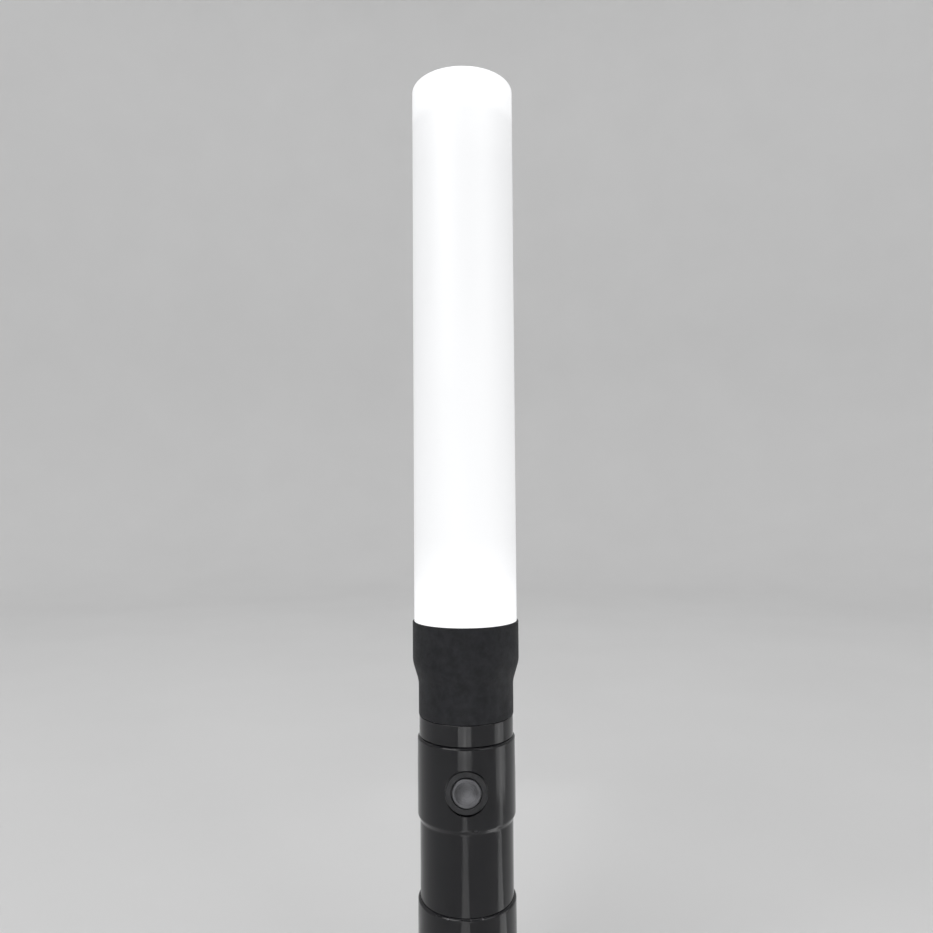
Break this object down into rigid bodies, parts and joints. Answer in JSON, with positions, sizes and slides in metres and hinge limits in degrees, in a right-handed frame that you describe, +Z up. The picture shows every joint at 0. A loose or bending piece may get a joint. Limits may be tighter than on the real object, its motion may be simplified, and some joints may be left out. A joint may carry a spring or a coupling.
{
  "type": "led light tube",
  "caption": "Hand-held light: a long frosted tube on a matte black collar pulls off a gloss black handle with a side switch, a screw-off tail tube and a tripod thread.",
  "frame": {"origin": "centre of the tail face, on which the light can stand", "axes": "+Z up the light, from the tail to the frosted tube's end; the side switch faces -Y; +X to the right seen from the switch's side"},
  "size_m": [0.031, 0.031, 0.284],
  "materials": {
    "opal_tube": "frosted opal plastic, lit from inside",
    "opal_cap": "frosted opal plastic, lit from inside",
    "matte_black": "fine matte texture",
    "gloss_black": "polished, gloss black anodised",
    "satin_black": "satin black anodised",
    "button_metal": "satin dark grey, turned face",
    "black_rubber": "smooth",
    "lens_glass": "clear, coated",
    "reflector_mirror": "smooth metallised",
    "white_plastic": "moulded, matt",
    "led_phosphor": "silicone dome over yellow phosphor",
    "white_board": "white solder mask",
    "steel_screw": "zinc plated",
    "lead_red": "silicone insulation",
    "lead_black": "silicone insulation",
    "brass": "machined",
    "green_board": "green solder mask",
    "spring_steel": "gold plated spring wire",
    "stem_plastic": "moulded",
    "switch_plastic": "moulded",
    "cell_can": "nickel plated",
    "cell_skin": "shrunk film"
  },
  "bodies": {
    "barrel": {"head": "gloss_black", "neck_rings": "black_rubber", "head_seal": "black_rubber", "bezel_ring": "satin_black", "lens": "lens_glass", "lens_seal": "black_rubber", "reflector": "reflector_mirror", "led_gasket": "white_plastic", "led_emitter": "led_phosphor", "led_board": "white_board", "board_screws": "steel_screw", "led_wires": "lead_red", "pill": "brass", "driver_board": "green_board", "driver_retainer": "brass", "front_spring": "spring_steel", "barrel": "gloss_black", "cell_liner": "white_plastic", "switch_bezel": "satin_black", "tact_switch": "switch_plastic", "switch_board": "green_board", "switch_wires": "lead_black"},
    "diffuser": {"diffuser_tube": "opal_tube", "end_cap": "opal_cap", "collar": "matte_black"},
    "button": {"switch_button": "button_metal", "tact_stem": "stem_plastic"},
    "cell": {"battery_cell": "cell_can", "cell_wrap": "cell_skin"},
    "tail_seal": {"tail_seal": "black_rubber"},
    "tail_tube": {"tail_tube": "gloss_black", "tail_board": "green_board", "tail_retainer": "brass", "tail_spring": "spring_steel", "tripod_insert": "brass"}
  },
  "joints": [
    {"name": "diffuser_pull", "type": "slide", "parent": "barrel", "child": "diffuser", "axis": [0, 0, 1], "range_m": [0, 0.05]},
    {"name": "switch_press", "type": "slide", "parent": "barrel", "child": "button", "axis": [0, 1, 0], "range_m": [0, 0.00035], "stiffness_N_per_m": 4000, "springref_m": -0.0001},
    {"name": "tail_travel", "type": "slide", "parent": "barrel", "child": "tail_seal", "axis": [0, 0, -1], "range_m": [0, 0.0075], "deforming": ["tail_spring"]},
    {"name": "tail_turn", "type": "hinge", "parent": "tail_seal", "child": "tail_tube", "pos_m": [0, 0, 0.04], "axis": [0, 0, -1], "range_deg": [0, 1800]},
    {"name": "cell_travel", "type": "slide", "parent": "barrel", "child": "cell", "axis": [0, 0, -1], "range_m": [0, 0.00375], "deforming": ["front_spring"]}
  ],
  "couplings": [
    {"joint": "tail_travel", "follows": "tail_turn", "m_per_rad": 0.00023873},
    {"joint": "cell_travel", "follows": "tail_turn", "m_per_rad": 0.00011937}
  ]
}
